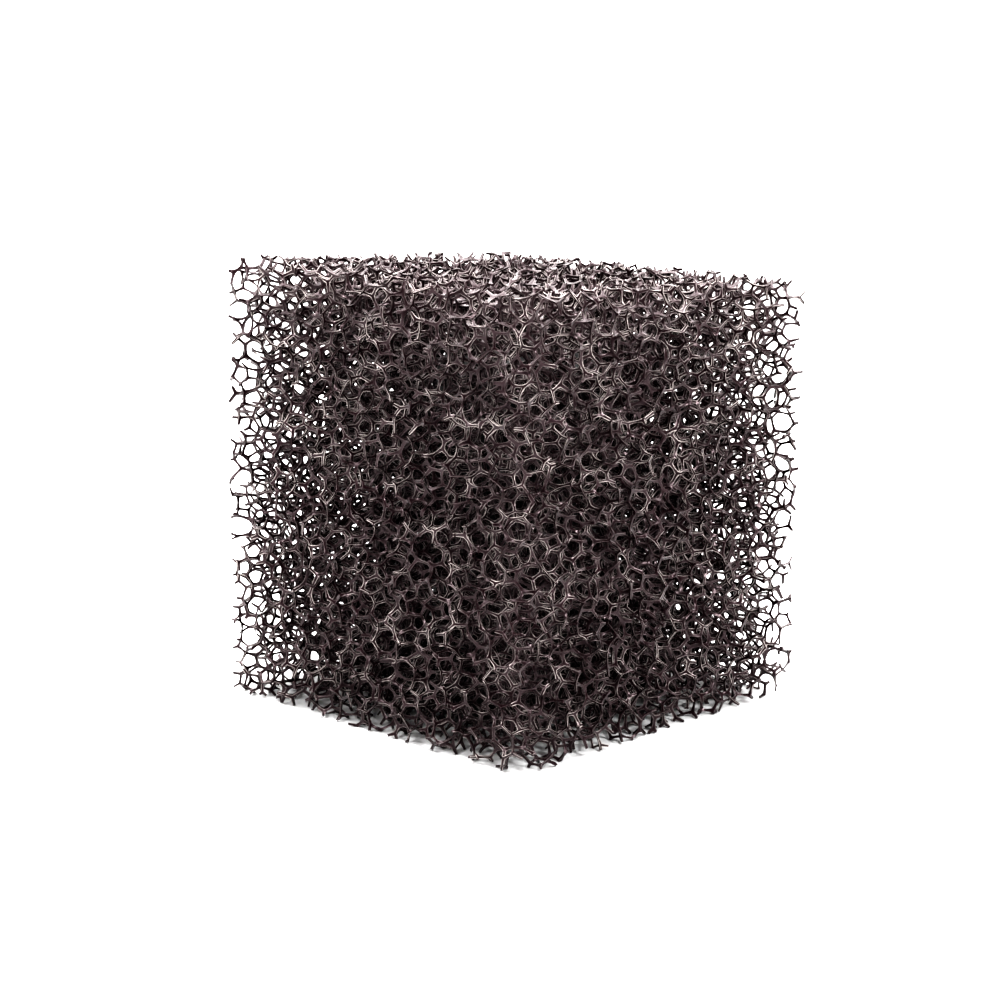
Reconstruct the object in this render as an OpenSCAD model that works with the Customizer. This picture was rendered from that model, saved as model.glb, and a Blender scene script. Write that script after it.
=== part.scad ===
// Slip-on sponge filter for a water intake: a coarse open-cell foam block on a slotted strainer core.
// The block stands on its base. The origin is the middle of the base, +Z is up, sizes are in mm.
// The core pushes into the foam from below, and a rubber bush in its mouth grips the intake pipe.

/* [Foam block] */
// Size of the block along X
foam_x = 50; // [40:1:70]
// Size of the block along Y
foam_y = 49; // [40:1:70]
// Height of the block
foam_h = 53; // [50:1:70]

/* [Strainer core] */
// Outside diameter of the strainer tube
tube_d = 20; // [18:0.5:22]
// Wall of the strainer tube
tube_wall = 1.4; // [1.2:0.1:1.6]
// Height of the tube's upper end above the base
tube_top = 40; // [36:1:42]
// Columns of slots around the tube
slot_columns = 10; // [6:1:12]
// Rows of slots up the tube
slot_rows = 3; // [2:1:4]
// Width of one slot
slot_w = 2.4; // [1.6:0.2:2.8]

/* [Intake pipe] */
// Outside diameter of the intake pipe
pipe_d = 12; // [10:0.5:12]
// How much smaller than the pipe the rubber bore is
pipe_bite = 0.2; // [0.1:0.1:0.4]

/* [Fit] */
// Gap between the core and the foam, on the radius
foam_gap = 0.3; // [0.2:0.1:0.6]
// How far the grip rings stand out from the tube
ring_out = 0.7; // [0.5:0.1:1]

/* [Hidden] */
$fn = 64;
tiny = 0.5; // extra depth that makes a cut run clear of a face

tube_r = tube_d / 2;
tube_bore_r = tube_r - tube_wall;
ring_r = tube_r + ring_out;
foam_bore_r = ring_r + foam_gap;

// socket adapter: a foot ring under the tube, a spigot inside it and a stop for the pipe
foot_h = 3;
spigot_top = 13;
stop_h = 2;
bush_wall = 1.4;
bush_bore_r = (pipe_d - pipe_bite) / 2;
bush_r = bush_bore_r + bush_wall;
bush_top = spigot_top - stop_h;
stop_r = bush_bore_r - 1;
lead_in = 0.8;

// grip rings on the tube, at the height of the spigot
ring_count = 3;
ring_pitch = 3;
ring_h = 1.6;
ring_z = foot_h + 1.2;

// slots, between the spigot and the nose plug
plug_spigot_h = 4;
slot_low = spigot_top + 1.5;
slot_high = tube_top - plug_spigot_h - 1.5;
slot_bridge = 1.8;
slot_h = (slot_high - slot_low - (slot_rows - 1) * slot_bridge) / slot_rows;

// nose plug: a spigot in the tube and a domed head that leads the foam on
nose_h = 3;
nose_edge = 0.8;
plug_wall = 1.2;

// the blind hole in the foam ends above the nose
foam_bore_depth = tube_top + nose_h + 1;

// A ring between two radii, from one height to another
module ring(r_in, r_out, z_low, z_high) {
    translate([0, 0, z_low])
        difference() {
            cylinder(r = r_out, h = z_high - z_low);
            translate([0, 0, -tiny]) cylinder(r = r_in, h = z_high - z_low + 2 * tiny);
        }
}

// One grip ring: its upper side slopes, so the foam slides down over it and is held from lifting
module grip_ring(z) {
    rotate_extrude()
        polygon([
            [tube_r - tube_wall / 2, z],
            [ring_r, z],
            [ring_r, z + ring_h / 3],
            [tube_r, z + ring_h],
            [tube_r - tube_wall / 2, z + ring_h]
        ]);
}

// One slot through the wall, with round ends
module slot(z) {
    end_r = slot_w / 2;
    translate([0, 0, z]) {
        translate([tube_bore_r - tiny, -end_r, end_r])
            cube([tube_wall + 2 * tiny, slot_w, slot_h - slot_w]);
        for (end = [end_r, slot_h - end_r])
            translate([tube_bore_r - tiny, 0, end])
                rotate([0, 90, 0]) cylinder(r = end_r, h = tube_wall + 2 * tiny);
    }
}

// Coarse open-cell foam with a blind hole for the core
module foam_block() {
    color([0.16, 0.13, 0.14])
        difference() {
            translate([-foam_x / 2, -foam_y / 2, 0]) cube([foam_x, foam_y, foam_h]);
            translate([0, 0, -tiny]) cylinder(r = foam_bore_r, h = foam_bore_depth + tiny);
        }
}

// Slotted tube that holds the foam and lets the water in
module strainer_tube() {
    color([0.11, 0.11, 0.12]) {
        difference() {
            ring(tube_bore_r, tube_r, foot_h, tube_top);
            for (row = [0 : slot_rows - 1], column = [0 : slot_columns - 1])
                rotate([0, 0, column * 360 / slot_columns])
                    slot(slot_low + row * (slot_h + slot_bridge));
        }
        for (i = [0 : ring_count - 1]) grip_ring(ring_z + i * ring_pitch);
    }
}

// Domed plug that closes the upper end, so all the water comes in through the slots
module nose_plug() {
    color([0.14, 0.14, 0.15]) {
        ring(tube_bore_r - plug_wall, tube_bore_r, tube_top - plug_spigot_h, tube_top);
        rotate_extrude()
            polygon([
                [0, tube_top],
                [tube_r, tube_top],
                [tube_r, tube_top + nose_edge],
                for (a = [15 : 15 : 75])
                    [tube_r * cos(a), tube_top + nose_edge + (nose_h - nose_edge) * sin(a)],
                [0, tube_top + nose_h]
            ]);
    }
}

// Foot, spigot and pipe stop in one moulding, pressed into the lower end of the tube
module socket_adapter() {
    color([0.12, 0.12, 0.13]) {
        ring(bush_r, ring_r, 0, foot_h);
        ring(bush_r, tube_bore_r, foot_h, bush_top);
        ring(stop_r, tube_bore_r, bush_top, spigot_top);
    }
}

// Soft bush with a tapered mouth that grips and seals the intake pipe
module rubber_bush() {
    color([0.08, 0.08, 0.08])
        rotate_extrude()
            polygon([
                [bush_bore_r + lead_in, 0],
                [bush_r, 0],
                [bush_r, bush_top],
                [bush_bore_r, bush_top],
                [bush_bore_r, lead_in]
            ]);
}

foam_block();
strainer_tube();
nose_plug();
socket_adapter();
rubber_bush();
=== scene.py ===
"""Looks of the slip-on sponge filter: a block of coarse open-cell foam on a moulded strainer core.

The foam is built as what it is, a network of struts between packed cells, cut to the block's shape.
Sizes are in metres, in the CAD part's own frame.
"""

import math
from itertools import combinations

import bpy
import numpy as np
from mathutils import Matrix, Vector
from mathutils.kdtree import KDTree


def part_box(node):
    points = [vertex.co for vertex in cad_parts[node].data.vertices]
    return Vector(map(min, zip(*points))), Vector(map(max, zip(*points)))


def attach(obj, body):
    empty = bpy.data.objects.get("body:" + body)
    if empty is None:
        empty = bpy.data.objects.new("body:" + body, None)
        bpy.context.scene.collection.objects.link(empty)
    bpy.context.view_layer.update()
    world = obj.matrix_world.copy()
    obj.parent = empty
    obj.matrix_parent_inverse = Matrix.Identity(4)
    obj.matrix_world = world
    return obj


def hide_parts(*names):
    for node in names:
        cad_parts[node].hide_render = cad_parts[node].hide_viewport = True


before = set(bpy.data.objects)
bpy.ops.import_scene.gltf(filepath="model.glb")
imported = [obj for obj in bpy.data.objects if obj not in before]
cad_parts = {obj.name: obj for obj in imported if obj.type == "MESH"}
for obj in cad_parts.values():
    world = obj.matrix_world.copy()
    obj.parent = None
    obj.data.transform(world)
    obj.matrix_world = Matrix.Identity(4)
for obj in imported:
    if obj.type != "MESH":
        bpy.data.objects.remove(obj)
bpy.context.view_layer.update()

MM = 0.001

# ---- the foam's cells -------------------------------------------------------------------------
CELL = 2.95 * MM          # from one cell to the next
MARGIN = 2 * CELL         # cells are packed this far beyond the block, so that the cut ones are whole
PACKING_ROUNDS = 12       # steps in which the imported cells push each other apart
REACH = 1.14 * CELL       # cells nearer than this push each other apart
PUSH = 0.28               # share of the overlap that one step takes away
WIDEST = 1.35 * CELL      # the largest radius at which four cells can share a corner
BATCH = 300               # cells whose corners are sought at a time, to limit the memory used
NEAR_CELLS = 28           # neighbours that can share a corner with a cell
SIFTS = ((0, 6), (6, 14), (14, NEAR_CELLS))   # neighbours tested in turn, so most misfits go early
EASING_ROUNDS = 6         # steps in which the struts even out, as they do under surface tension

# ---- the struts -------------------------------------------------------------------------------
CUSP = 0.165 * MM         # from a strut's middle line to the ends of its three lips, at mid length
HOLLOW = 0.034 * MM       # from the middle line to the middle of its three concave faces
WEB = 0.28 * MM           # from a joint of four struts to the web between two of them
HUB = 0.085 * MM          # from such a joint to its surface in each cell
LIP = 0.022 * MM          # half the thickness of the lips round the windows
UNEVEN = 0.14             # spread of the thickness from one joint to the next
SHORTEST = 0.12           # a cut strut keeps at least this share of its length
NOT_CUT = 0.98            # a cut found beyond this share of the length counts as no cut
HALVINGS = 9              # steps that close in on where a strut is cut

# ---- the cut faces ----------------------------------------------------------------------------
EDGE_WEAR = 0.3 * MM      # how far the block's edges are rounded by wear
WAVE = 0.25 * MM          # how far the cut faces wander from flat
WAVE_LENGTH = 9 * MM      # from one crest of that wander to the next, along X
RING_ROOM = 0.55 * MM     # between the core's grip rings and the cut hole
NOSE_ROOM = 1.0 * MM      # between the core's nose and the end of the hole
# how far the top was cut above its nominal height at (-X, -Y), (+X, -Y), (-X, +Y) and (+X, +Y)
TOP_RISE = np.array([-0.3, -1.3, 0.9, -1.2]) * MM
CHUNKS = (2, 2, 4)        # the foam is held as this many pieces along X, Y and Z


def unit(v):
    """The vectors along the last axis, scaled to length 1."""
    return v / np.maximum(np.linalg.norm(v, axis=-1, keepdims=True), 1e-12)


def nearest(points, count):
    """For each point, the indices of the count points nearest to it."""
    tree = KDTree(len(points))
    for i, p in enumerate(points):
        tree.insert(p, i)
    tree.balance()
    return np.array([[found[1] for found in tree.find_n(p, count + 1)[1:]] for p in points])


def packed_cells(low, high, rng):
    """Middles of cells that fill a box: one at random in each cube of it, then pushed apart."""
    count = np.round((high - low) / CELL).astype(int)
    step = (high - low) / count
    cubes = np.stack(np.meshgrid(*[np.arange(n) for n in count], indexing="ij"), -1).reshape(-1, 3)
    middles = low + (cubes + rng.random(cubes.shape)) * step
    for _ in range(PACKING_ROUNDS):
        away = middles[:, None] - middles[nearest(middles, 12)]
        distance = np.linalg.norm(away, axis=2, keepdims=True)
        push = np.clip(REACH / distance - 1, 0, 1.5) * away
        middles = np.clip(middles + PUSH * push.sum(1), low, high)
    return middles


def cell_corners(middles):
    """Where four cells meet: the points that are equally far from four middles, with none nearer.
    Returns the points and, for each, its four cells in rising order."""
    near = nearest(middles, NEAR_CELLS)
    triples = np.array(list(combinations(range(NEAR_CELLS), 3)))
    points, fours = [], []
    for start in range(0, len(middles), BATCH):
        block = np.arange(start, min(start + BATCH, len(middles)))
        later = near[block] > block[:, None]
        row, which = np.nonzero(later[:, triples].all(2))
        first = block[row]
        rest = near[first[:, None], triples[which]]
        a, b, c = (middles[rest[:, k]] - middles[first] for k in range(3))
        bc, ca, ab = np.cross(b, c), np.cross(c, a), np.cross(a, b)
        volume = 2 * (a * bc).sum(1, keepdims=True)
        volume[np.abs(volume) < 1e-9 * CELL**3] = np.inf
        square_a, square_b, square_c = ((v * v).sum(1, keepdims=True) for v in (a, b, c))
        offset = (square_a * bc + square_b * ca + square_c * ab) / volume
        radius = (offset * offset).sum(1)
        keep = (radius > 0) & (radius < WIDEST ** 2)
        for low, high in SIFTS:
            first, rest, offset, radius = first[keep], rest[keep], offset[keep], radius[keep]
            other = middles[near[first][:, low:high]] - middles[first][:, None] - offset[:, None]
            keep = ((other * other).sum(2) > radius[:, None] * (1 - 1e-9)).all(1)
        points.append((middles[first] + offset)[keep])
        fours.append(np.sort(np.column_stack([first, rest])[keep], axis=1))
    fours, order = np.unique(np.concatenate(fours), axis=0, return_index=True)
    return np.concatenate(points)[order], fours


def strut_ends(fours, cells):
    """For each corner's four struts, the flat index (corner * 4 + strut) of the strut's other end.
    Strut k is the one that cell k of the four doesn't touch. -1 where the strut has no other end."""
    key = np.empty(fours.shape, np.int64)
    for k in range(4):
        a, b, c = np.delete(fours, k, axis=1).T.astype(np.int64)
        key[:, k] = (a * cells + b) * cells + c
    order = np.argsort(key, axis=None, kind="stable")
    flat = key.ravel()[order]
    same = np.nonzero(flat[1:] == flat[:-1])[0]
    end = np.full(key.size, -1)
    end[order[same]] = order[same + 1]
    end[order[same + 1]] = order[same]
    return end.reshape(-1, 4)


def handedness(middles, fours):
    """1 or -1 for each corner: which way round its four cells stand. It is taken from the cells and not
    from the struts, because easing can turn a nearly flat joint inside out."""
    first, *rest = (middles[fours[:, k]] for k in range(4))
    a, b, c = (v - first for v in rest)
    return np.sign((np.cross(a, b) * c).sum(1))


def eased(corners, end):
    """The corners after the struts have evened out: each moves towards the middle of its four."""
    held = (end < 0).any(1)
    for _ in range(EASING_ROUNDS):
        middle = corners[end // 4].mean(1)
        corners = np.where(held[:, None], corners, 0.5 * (corners + middle))
    return corners


def wave(p, phase):
    """A slow wander between -1 and 1 over the points."""
    turn = 2 * math.pi / WAVE_LENGTH
    return (np.sin(p[:, 0] * turn + phase) + np.sin(p[:, 1] * turn * 1.3 + 2 * phase)
            + np.sin(p[:, 2] * turn * 0.8 + 3 * phase)) / 3


def block_depth(p, low, high, bore, top_rise):
    """How far points lie inside the cut block: under 0 outside it and in the hole for the core."""
    across = (p[:, 0] - low[0]) / (high[0] - low[0])
    along = (p[:, 1] - low[1]) / (high[1] - low[1])
    rise = ((1 - across) * ((1 - along) * top_rise[0] + along * top_rise[2])
            + across * ((1 - along) * top_rise[1] + along * top_rise[3]))
    faces = np.stack([p[:, 0] - low[0], high[0] - p[:, 0], p[:, 1] - low[1], high[1] - p[:, 1],
                      p[:, 2] - low[2], high[2] + rise - p[:, 2]])
    faces += WAVE * np.stack([wave(p, 1.7 * i) for i in range(6)])
    faces[4] = np.minimum(faces[4], p[:, 2] - low[2])
    worn = -EDGE_WEAR * np.log(np.exp(-np.clip(faces, -CELL, 6 * EDGE_WEAR) / EDGE_WEAR).sum(0))
    outside_hole = np.hypot(p[:, 0], p[:, 1]) - bore["radius"]
    above_hole = p[:, 2] - bore["top"]
    return np.minimum(worn, np.maximum(outside_hole, above_hole))


def joined_up(end, inside):
    """Which corners belong to the largest network of whole struts."""
    label = np.where(inside, np.arange(len(end)), -1)
    other = end // 4
    whole = inside[:, None] & (end >= 0) & inside[other]
    while True:
        new = np.maximum(label, np.where(whole, label[other], -1).max(1))
        new = np.where(inside, new, -1)
        if (new == label).all():
            break
        label = new
    names, sizes = np.unique(label[inside], return_counts=True)
    return label == names[sizes.argmax()]


def cut_places(corners, end, depth):
    """How far along each strut the cut crosses it, as a share of its length, for struts that leave."""
    a = np.repeat(corners, 4, axis=0)
    b = corners[end.ravel() // 4]
    low, high = np.zeros(len(a)), np.ones(len(a))
    for _ in range(HALVINGS):
        middle = (low + high) / 2
        within = depth(a + (b - a) * middle[:, None]) > 0
        low, high = np.where(within, middle, low), np.where(within, high, middle)
    return low.reshape(-1, 4)


THREE = np.array([[j for j in range(4) if j != k] for k in range(4)])   # the cells round strut k
PAIRS = list(combinations(range(4), 2))                                 # the windows at a corner


def parity(order):
    """1 for an even order of 0 to 3, and -1 for an odd one."""
    return (-1) ** sum(order[i] > order[j] for i, j in combinations(range(4), 2))


def foam_faces(corners, end, handed, depth, rng):
    """The struts as one set of points and faces. Each joint of four struts has a hub point in each of
    its four cells and two web points in each of its six windows. Each strut has a ring of nine points
    at mid length, or where it is cut: one on each concave face and two on each of its three lips.
    Returns the points, which of them are on the windows' rims, the quads, the triangles that close
    the cut ends, and the chunk that each quad and each triangle is in."""
    usable = (end >= 0).all(1)
    inside = joined_up(end, usable & (depth(corners) > 0))
    direction = unit(corners[end // 4] - corners[:, None])
    share = cut_places(corners, end, depth)
    whole = inside[:, None] & inside[end // 4]
    share = np.where(whole, 0.5, np.where(share > NOT_CUT, 0.5, np.maximum(share, SHORTEST)))

    thick = 1 + UNEVEN * np.clip(rng.standard_normal(len(corners)), -2, 2)
    into_cell = np.stack([unit(direction[:, THREE[a]].sum(1)) for a in range(4)], 1)
    hub = corners[:, None] + HUB * thick[:, None, None] * into_cell
    web = []
    for a, b in PAIRS:
        k, m = (j for j in range(4) if j not in (a, b))
        lip_middle = corners + WEB * thick[:, None] * unit(direction[:, k] + direction[:, m])
        across = LIP * unit(into_cell[:, b] - into_cell[:, a])
        web += [lip_middle - across, lip_middle + across]
    web = np.stack(web, 1)

    edges = np.empty((len(corners), 4, 3, 3))
    for k in range(4):
        along = direction[:, k]
        for m in range(3):
            other = direction[:, THREE[k][m]]
            edges[:, k, m] = unit(other - (other * along).sum(1, keepdims=True) * along)
    far_side = edges.reshape(-1, 3, 3)[end]
    edges = np.where(whole[:, :, None, None], unit(edges + far_side), edges)
    faces = unit(edges.sum(2, keepdims=True) - edges)
    length = np.linalg.norm(corners[end // 4] - corners[:, None], axis=2)
    middle = corners[:, None] + direction * (share * length)[:, :, None]
    thick_here = np.where(whole, (thick[:, None] + thick[end // 4]) / 2, thick[:, None])[:, :, None, None]
    lips = middle[:, :, None] + CUSP * thick_here * edges
    across = LIP * unit(faces[:, :, [2, 2, 1]] - faces[:, :, [1, 0, 0]])
    lips = np.stack([lips - across, lips + across], 3).reshape(len(corners), 4, 6, 3)
    ring = np.concatenate([middle[:, :, None] + HOLLOW * thick_here * faces, lips], 2)

    count = len(corners)
    points = np.concatenate([hub.reshape(-1, 3), web.reshape(-1, 3), ring.reshape(-1, 3)])
    points[:, 2] = np.maximum(points[:, 2], 0)
    web_at, ring_at = 4 * count, 16 * count
    chunk = chunk_of(corners)
    shared = whole & (chunk[:, None] == chunk[end // 4])
    own = np.arange(count * 4).reshape(-1, 4)
    ring_of = ring_at + 9 * np.where(shared, np.minimum(own, end), own)

    at = np.nonzero(inside)[0]
    quads = []
    for a, b in ((a, b) for a in range(4) for b in range(4) if a != b):
        window = web_at + 12 * at + 2 * PAIRS.index((min(a, b), max(a, b))) + (a > b)
        for k in (j for j in range(4) if j not in (a, b)):
            c = 6 - a - b - k
            face = ring_of[at, k] + list(THREE[k]).index(a)
            edge = ring_of[at, k] + 3 + 2 * list(THREE[k]).index(c) + (a > b)
            turned = (handed[at] * parity((a, b, k, c)) > 0)[:, None]
            quad = np.stack([4 * at + a, face, edge, window], 1)
            quads.append(np.where(turned, quad[:, ::-1], quad))
            if a < b:
                lip = np.stack([window, edge, edge + 1, window + 1], 1)
                quads.append(np.where(turned, lip[:, ::-1], lip))
    quad_chunk = chunk[np.tile(at, len(quads))]
    quads = np.concatenate(quads)

    triangles, owners = [], []
    for k in range(4):
        v = at[~shared[at, k]]
        r = ring_of[v, k]
        turned = (handed[v] * (-1) ** k < 0)[:, None]
        for three in ((0, 1, 2), (0, 7, 8), (0, 8, 1), (1, 3, 4), (1, 4, 2), (2, 6, 5), (2, 5, 0)):
            face = np.stack([r + j for j in three], 1)
            triangles.append(np.where(turned, face[:, ::-1], face))
            owners.append(v)
    rim = np.zeros(len(points), bool)
    rim[web_at:ring_at] = True
    rim[ring_at:] = np.arange(len(points) - ring_at) % 9 > 2
    return points, rim, quads, np.concatenate(triangles), quad_chunk, chunk[np.concatenate(owners)]


def chunk_of(corners):
    """The number of the piece of foam that each corner is in."""
    low, high = (np.array(v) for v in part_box("foam_block"))
    place = np.clip((corners - low) / (high - low), 0, 0.999)
    cell = (place * CHUNKS).astype(int)
    return (cell[:, 0] * CHUNKS[1] + cell[:, 1]) * CHUNKS[2] + cell[:, 2]


def mesh_of(name, points, rim, quads, triangles):
    """A mesh of these faces, smooth on the struts and flat on their cut ends."""
    used, corner = np.unique(np.concatenate([quads.ravel(), triangles.ravel()]), return_inverse=True)
    mesh = bpy.data.meshes.new(name)
    mesh.vertices.add(len(used))
    mesh.vertices.foreach_set("co", points[used].astype(np.float32).ravel())
    mesh.loops.add(len(corner))
    mesh.loops.foreach_set("vertex_index", corner.astype(np.int32))
    sides = np.concatenate([np.full(len(quads), 4), np.full(len(triangles), 3)])
    mesh.polygons.add(len(sides))
    mesh.polygons.foreach_set("loop_start", (np.cumsum(sides) - sides).astype(np.int32))
    mesh.update(calc_edges=True)
    mesh.polygons.foreach_set("use_smooth", sides == 4)
    mesh.attributes.new("rim", "FLOAT", "POINT").data.foreach_set("value", rim[used].astype(np.float32))
    return mesh


def build_foam(material):
    """The foam's pieces, on the foam body in place of the CAD block."""
    low, high = (np.array(v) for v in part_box("foam_block"))
    core_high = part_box("nose_plug")[1]
    ring_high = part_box("strainer_tube")[1]
    bore = {"radius": ring_high.x + RING_ROOM, "top": core_high.z + NOSE_ROOM}
    rng = np.random.default_rng(7)
    middles = packed_cells(low - MARGIN, high + MARGIN, rng)
    corners, fours = cell_corners(middles)
    end = strut_ends(fours, len(middles))
    handed = handedness(middles, fours)
    corners = eased(corners, end)

    def depth(p):
        return block_depth(p, low, high, bore, TOP_RISE)

    faces = foam_faces(corners, end, handed, depth, rng)
    points, rim, quads, triangles, quad_chunk, triangle_chunk = faces
    for number in range(math.prod(CHUNKS)):
        name = f"foam_cells_{number + 1:02d}"
        mesh = mesh_of(name, points, rim, quads[quad_chunk == number], triangles[triangle_chunk == number])
        mesh.materials.append(material)
        piece = bpy.data.objects.new(name, mesh)
        bpy.context.scene.collection.objects.link(piece)
        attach(piece, "foam")
        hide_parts("foam_block")


# ---- materials --------------------------------------------------------------------------------
def new_material(name):
    """An empty node material: itself, its tree and its Principled shader."""
    material = bpy.data.materials.new(name)
    material.use_nodes = True
    tree = material.node_tree
    shader = tree.nodes["Principled BSDF"]
    return material, tree, shader


def noise(tree, scale, detail=3.0):
    """Noise over the object's own space, with scale in features a metre."""
    place = tree.nodes.new("ShaderNodeTexCoord")
    node = tree.nodes.new("ShaderNodeTexNoise")
    node.inputs["Scale"].default_value = scale
    node.inputs["Detail"].default_value = detail
    tree.links.new(place.outputs["Object"], node.inputs["Vector"])
    return node.outputs["Fac"]


def ramp(tree, value, stops):
    """A colour ramp over value. stops are (place, colour)."""
    node = tree.nodes.new("ShaderNodeValToRGB")
    elements = node.color_ramp.elements
    while len(elements) < len(stops):
        elements.new(0.5)
    for element, (place, colour) in zip(elements, stops):
        element.position = place
        element.color = (*colour, 1)
    tree.links.new(value, node.inputs["Fac"])
    return node.outputs["Color"]


def spread(tree, value, low, high, start=0.3, stop=0.7):
    """value, from start to stop, mapped to low to high."""
    node = tree.nodes.new("ShaderNodeMapRange")
    for name, number in zip(("From Min", "From Max", "To Min", "To Max"), (start, stop, low, high)):
        node.inputs[name].default_value = number
    tree.links.new(value, node.inputs["Value"])
    return node.outputs["Result"]


def bump(tree, shader, height, distance, strength):
    """Feeds the shader's normal with a bump of that height map."""
    node = tree.nodes.new("ShaderNodeBump")
    node.inputs["Distance"].default_value = distance
    node.inputs["Strength"].default_value = strength
    tree.links.new(height, node.inputs["Height"])
    tree.links.new(node.outputs["Normal"], shader.inputs["Normal"])


def painted_highlight_mask(tree, start, full):
    """0 in the middle of a strut's faces and 1 on the windows' rims, rising from start to full: the mask
    for the pale painted highlight on the rims.
    """
    node = tree.nodes.new("ShaderNodeAttribute")
    node.attribute_name = "rim"
    return spread(tree, node.outputs["Fac"], 0, 1, start, full)


def blended(tree, share, plain, other):
    """The colour plain, turning to the colour other as share goes from 0 to 1."""
    node = tree.nodes.new("ShaderNodeMix")
    node.data_type = "RGBA"
    factor, first, second = (s for s in node.inputs if s.enabled)
    tree.links.new(share, factor)
    tree.links.new(plain, first)
    tree.links.new(other, second)
    return next(s for s in node.outputs if s.enabled)


def foam_material():
    """Charcoal polyurethane: plum-black struts with a waxy gloss, and window rims painted pale as a
    painted highlight, standing in for light caught on the lips, unevenly from one part of the block to the
    next."""
    material, tree, shader = new_material("foam_polyurethane")
    struts = ramp(tree, noise(tree, 260, detail=2), [
        (0.35, (0.004, 0.0008, 0.0016)),
        (0.50, (0.007, 0.0019, 0.0030)),
        (0.68, (0.012, 0.0048, 0.0064)),
    ])
    # painted highlight: pale tan colour on the window rims standing in for light caught on the lips,
    # brighter in random patches
    painted_rim_highlight = ramp(tree, noise(tree, 330, detail=2), [
        (0.40, (0.040, 0.030, 0.030)),
        (0.52, (0.110, 0.092, 0.090)),
        (0.66, (0.440, 0.395, 0.375)),
    ])
    # the struts' own plum-black tone, turning to the painted rim highlight towards the rims
    strut_tone_with_highlight = blended(tree, painted_highlight_mask(tree, 0.66, 0.90), struts, painted_rim_highlight)
    tree.links.new(strut_tone_with_highlight, shader.inputs["Base Color"])
    tree.links.new(spread(tree, noise(tree, 700), 0.20, 0.36), shader.inputs["Roughness"])
    shader.inputs["Specular IOR Level"].default_value = 0.28
    shader.inputs["Specular Tint"].default_value = (1, 0.79, 0.83, 1)
    bump(tree, shader, noise(tree, 3500, detail=2), 0.02 * MM, 0.4)
    return material


def plastic_material(name, dark, light, roughness, grain):
    """Moulded plastic or rubber with a fine spark-eroded grain and faint flow marks."""
    material, tree, shader = new_material(name)
    flow = ramp(tree, noise(tree, 90, detail=4), [(0.3, dark), (0.7, light)])
    tree.links.new(flow, shader.inputs["Base Color"])
    uneven = spread(tree, noise(tree, 400), roughness - 0.12, roughness + 0.12)
    tree.links.new(uneven, shader.inputs["Roughness"])
    shader.inputs["Specular IOR Level"].default_value = 0.3
    bump(tree, shader, noise(tree, grain, detail=4), 0.03 * MM, 0.6)
    return material


def finish_cad_node(node, material):
    """Gives a carried-over CAD node its material."""
    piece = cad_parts[node]
    piece.data.materials.clear()
    piece.data.materials.append(material)


def finish_core():
    """The looks of the four pieces of the core."""
    strainer = plastic_material("strainer_plastic", (0.0050, 0.0052, 0.0057), (0.0150, 0.0152, 0.0160),
                                roughness=0.42, grain=2600)
    plug = plastic_material("plug_plastic", (0.0070, 0.0072, 0.0079), (0.0170, 0.0173, 0.0183),
                            roughness=0.38, grain=2200)
    socket = plastic_material("socket_plastic", (0.0045, 0.0047, 0.0051), (0.0130, 0.0133, 0.0140),
                              roughness=0.40, grain=2600)
    rubber = plastic_material("bush_rubber", (0.0025, 0.0025, 0.0027), (0.0080, 0.0080, 0.0082),
                              roughness=0.68, grain=1800)
    finish_cad_node("strainer_tube", strainer)
    finish_cad_node("nose_plug", plug)
    finish_cad_node("socket_adapter", socket)
    finish_cad_node("rubber_bush", rubber)


# ---- camera -----------------------------------------------------------------------------------
# it looks at the block's vertical edge at (-X, -Y), from a little above the top
PHOTO_YAW = math.radians(43.2)      # the way it looks, turned from +X towards +Y
PHOTO_PITCH = math.radians(11.13)   # below the horizon
PHOTO_ROLL = math.radians(0.76)
CAMERA_BACK = 231.9 * MM            # from the near edge to the camera, along the ground
CAMERA_ASIDE = -2.6 * MM            # to the right of the near edge
CAMERA_UP = 76.7 * MM               # above the ground
LENS_MM = 79.8
AHEAD = Vector((math.cos(PHOTO_YAW), math.sin(PHOTO_YAW), 0))


def make_camera():
    """The camera at the photograph's viewing angle."""
    near_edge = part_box("foam_block")[0]
    right = Vector((AHEAD.y, -AHEAD.x, 0))
    up = Vector((0, 0, 1))
    look = AHEAD * math.cos(PHOTO_PITCH) - up * math.sin(PHOTO_PITCH)
    head = AHEAD * math.sin(PHOTO_PITCH) + up * math.cos(PHOTO_PITCH)
    side = right * math.cos(PHOTO_ROLL) + head * math.sin(PHOTO_ROLL)
    head = head * math.cos(PHOTO_ROLL) - right * math.sin(PHOTO_ROLL)
    data = bpy.data.cameras.new("photo_camera")
    data.lens = LENS_MM
    data.sensor_width = 36
    data.clip_start = 0.01
    camera = bpy.data.objects.new("photo_camera", data)
    place = near_edge + right * CAMERA_ASIDE - AHEAD * CAMERA_BACK + up * CAMERA_UP
    axes = Matrix((side, head, -look)).transposed().to_4x4()
    camera.matrix_world = Matrix.Translation(place) @ axes
    bpy.context.scene.collection.objects.link(camera)
    bpy.context.scene.camera = camera


# ---- studio -----------------------------------------------------------------------------------
FLOOR_HALF = 6.0                    # half the floor's side
BACKDROP = 1.9                      # brightness of the white backdrop
DIM_SIDE = 0.22                     # brightness that the dim side of the room adds as light
AIM = Vector((0, 0, 0.027))         # the middle of the block, which the small lights point at


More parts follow.
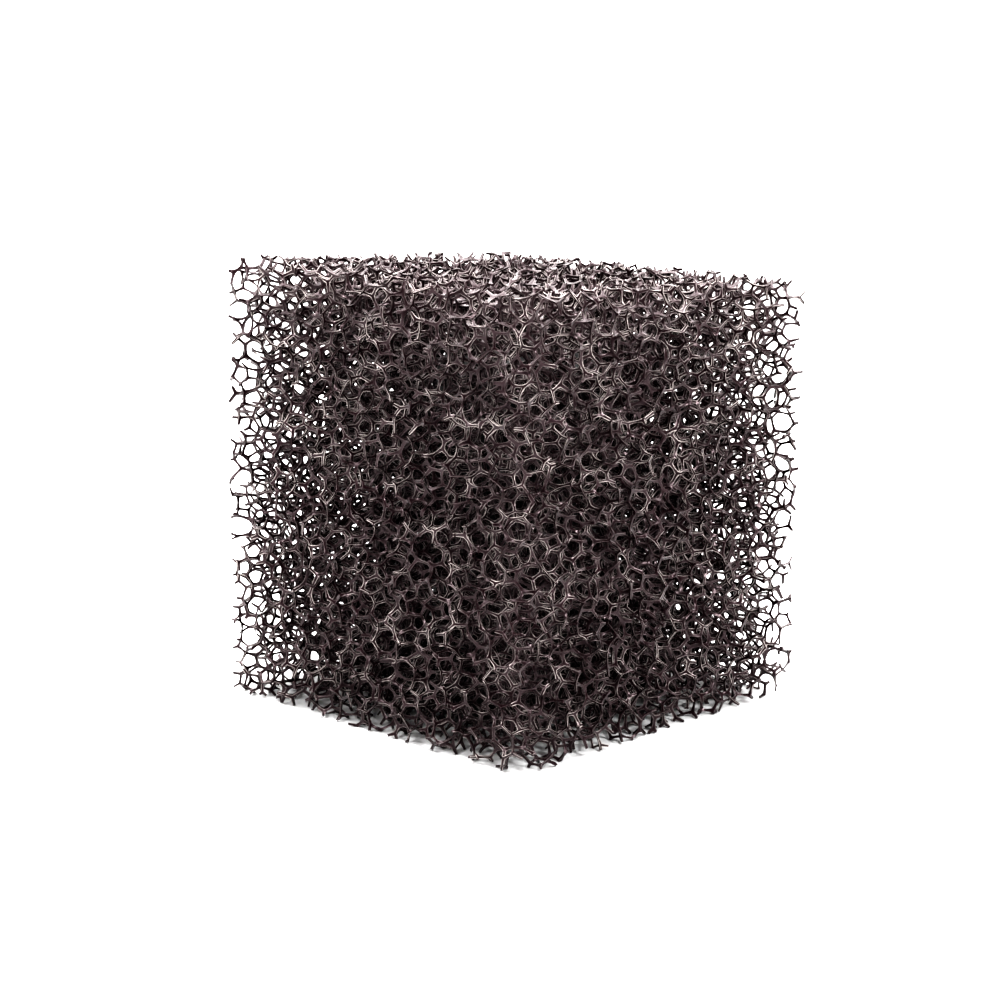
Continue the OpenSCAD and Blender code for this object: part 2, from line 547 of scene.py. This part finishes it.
def make_floor():
    """A plain pale floor that runs far past the object."""
    mesh = bpy.data.meshes.new("studio_floor")
    corners = [(x * FLOOR_HALF, y * FLOOR_HALF, 0) for x, y in ((-1, -1), (1, -1), (1, 1), (-1, 1))]
    mesh.from_pydata(corners, [], [(0, 1, 2, 3)])
    floor = bpy.data.objects.new("studio_floor", mesh)
    floor.location.z = -0.05 * MM
    bpy.context.scene.collection.objects.link(floor)
    material, tree, shader = new_material("studio_floor")
    shade = ramp(tree, noise(tree, 2), [(0.3, (0.55, 0.55, 0.55)), (0.7, (0.58, 0.58, 0.58))])
    tree.links.new(shade, shader.inputs["Base Color"])
    shader.inputs["Roughness"].default_value = 0.9
    mesh.materials.append(material)


def make_world():
    """A room that looks white all round, and lights the object mostly from the backdrop's side."""
    world = bpy.data.worlds.new("studio")
    world.use_nodes = True
    tree = world.node_tree
    background = tree.nodes["Background"]
    background.inputs["Color"].default_value = (1, 0.95, 0.93, 1)
    way = tree.nodes.new("ShaderNodeTexCoord")
    ahead = tree.nodes.new("ShaderNodeVectorMath")
    ahead.operation = "DOT_PRODUCT"
    ahead.inputs[1].default_value = AHEAD
    tree.links.new(way.outputs["Generated"], ahead.inputs[0])
    seen = tree.nodes.new("ShaderNodeLightPath")
    strength = tree.nodes.new("ShaderNodeMix")
    factor, lighting, looks = (s for s in strength.inputs if s.enabled)
    tree.links.new(seen.outputs["Is Camera Ray"], factor)
    tree.links.new(spread(tree, ahead.outputs["Value"], DIM_SIDE, BACKDROP, -0.1, 0.9), lighting)
    looks.default_value = BACKDROP
    tree.links.new(strength.outputs[0], background.inputs["Strength"])
    bpy.context.scene.world = world
    bpy.context.scene.view_settings.view_transform = "Standard"
    bpy.context.scene.view_settings.look = "High Contrast"


def area_light(name, place, power):
    """A small square light at place, aimed at the block."""
    data = bpy.data.lights.new(name, "AREA")
    data.shape = "SQUARE"
    data.size = 0.07
    data.energy = power
    light = bpy.data.objects.new(name, data)
    light.location = place
    light.rotation_euler = (AIM - Vector(place)).to_track_quat("-Z", "Y").to_euler()
    bpy.context.scene.collection.objects.link(light)


def make_lights():
    """A wide soft light overhead, and two small ones that glint on the struts."""
    area_light("key_light", (-0.10, -0.34, 0.34), 2.2)
    area_light("fill_light", (-0.34, -0.04, 0.30), 1.0)
    overhead = bpy.data.lights.new("overhead_light", "SUN")
    overhead.energy = 14.0
    overhead.angle = math.radians(72)
    light = bpy.data.objects.new("overhead_light", overhead)
    light.rotation_euler = (math.radians(-14), math.radians(12), 0)
    bpy.context.scene.collection.objects.link(light)


make_camera()
build_foam(foam_material())
finish_core()
make_floor()
make_world()
make_lights()
